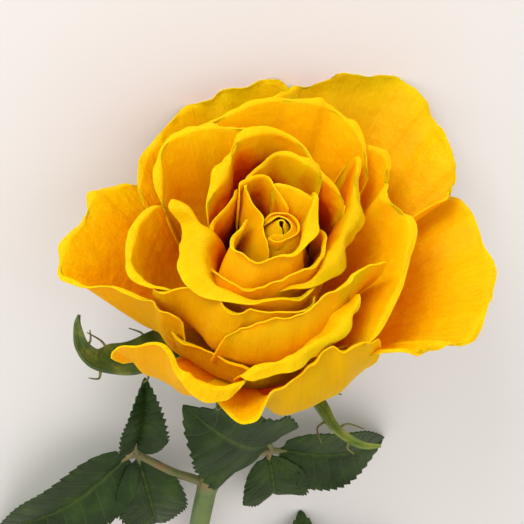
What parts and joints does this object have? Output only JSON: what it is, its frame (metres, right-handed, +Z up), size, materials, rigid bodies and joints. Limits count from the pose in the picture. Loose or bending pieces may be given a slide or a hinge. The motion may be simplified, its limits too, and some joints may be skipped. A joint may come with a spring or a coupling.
{
  "type": "cut rose",
  "caption": "Open yellow garden rose on a short cut stem with compound leaves, lying on its side as on a table.",
  "frame": {"origin": "on the table under the middle of the whole rose, which lies on its petals, leaf tips and stem end", "axes": "+Z up from the table; +Y from the bloom to the cut end of the stem; +X to the right of a viewer who faces the bloom"},
  "size_m": [0.1147, 0.2567, 0.0676],
  "materials": {
    "bloom": "soft satin petal",
    "calyx": "satin green skin",
    "stem": "satin green skin",
    "leaf": "waxy leaf"
  },
  "bodies": {
    "root": {"bloom": "bloom", "calyx": "calyx", "stem": "stem", "leaf_left": "leaf", "leaf_right": "leaf", "leaf_back": "leaf"}
  },
  "joints": []
}
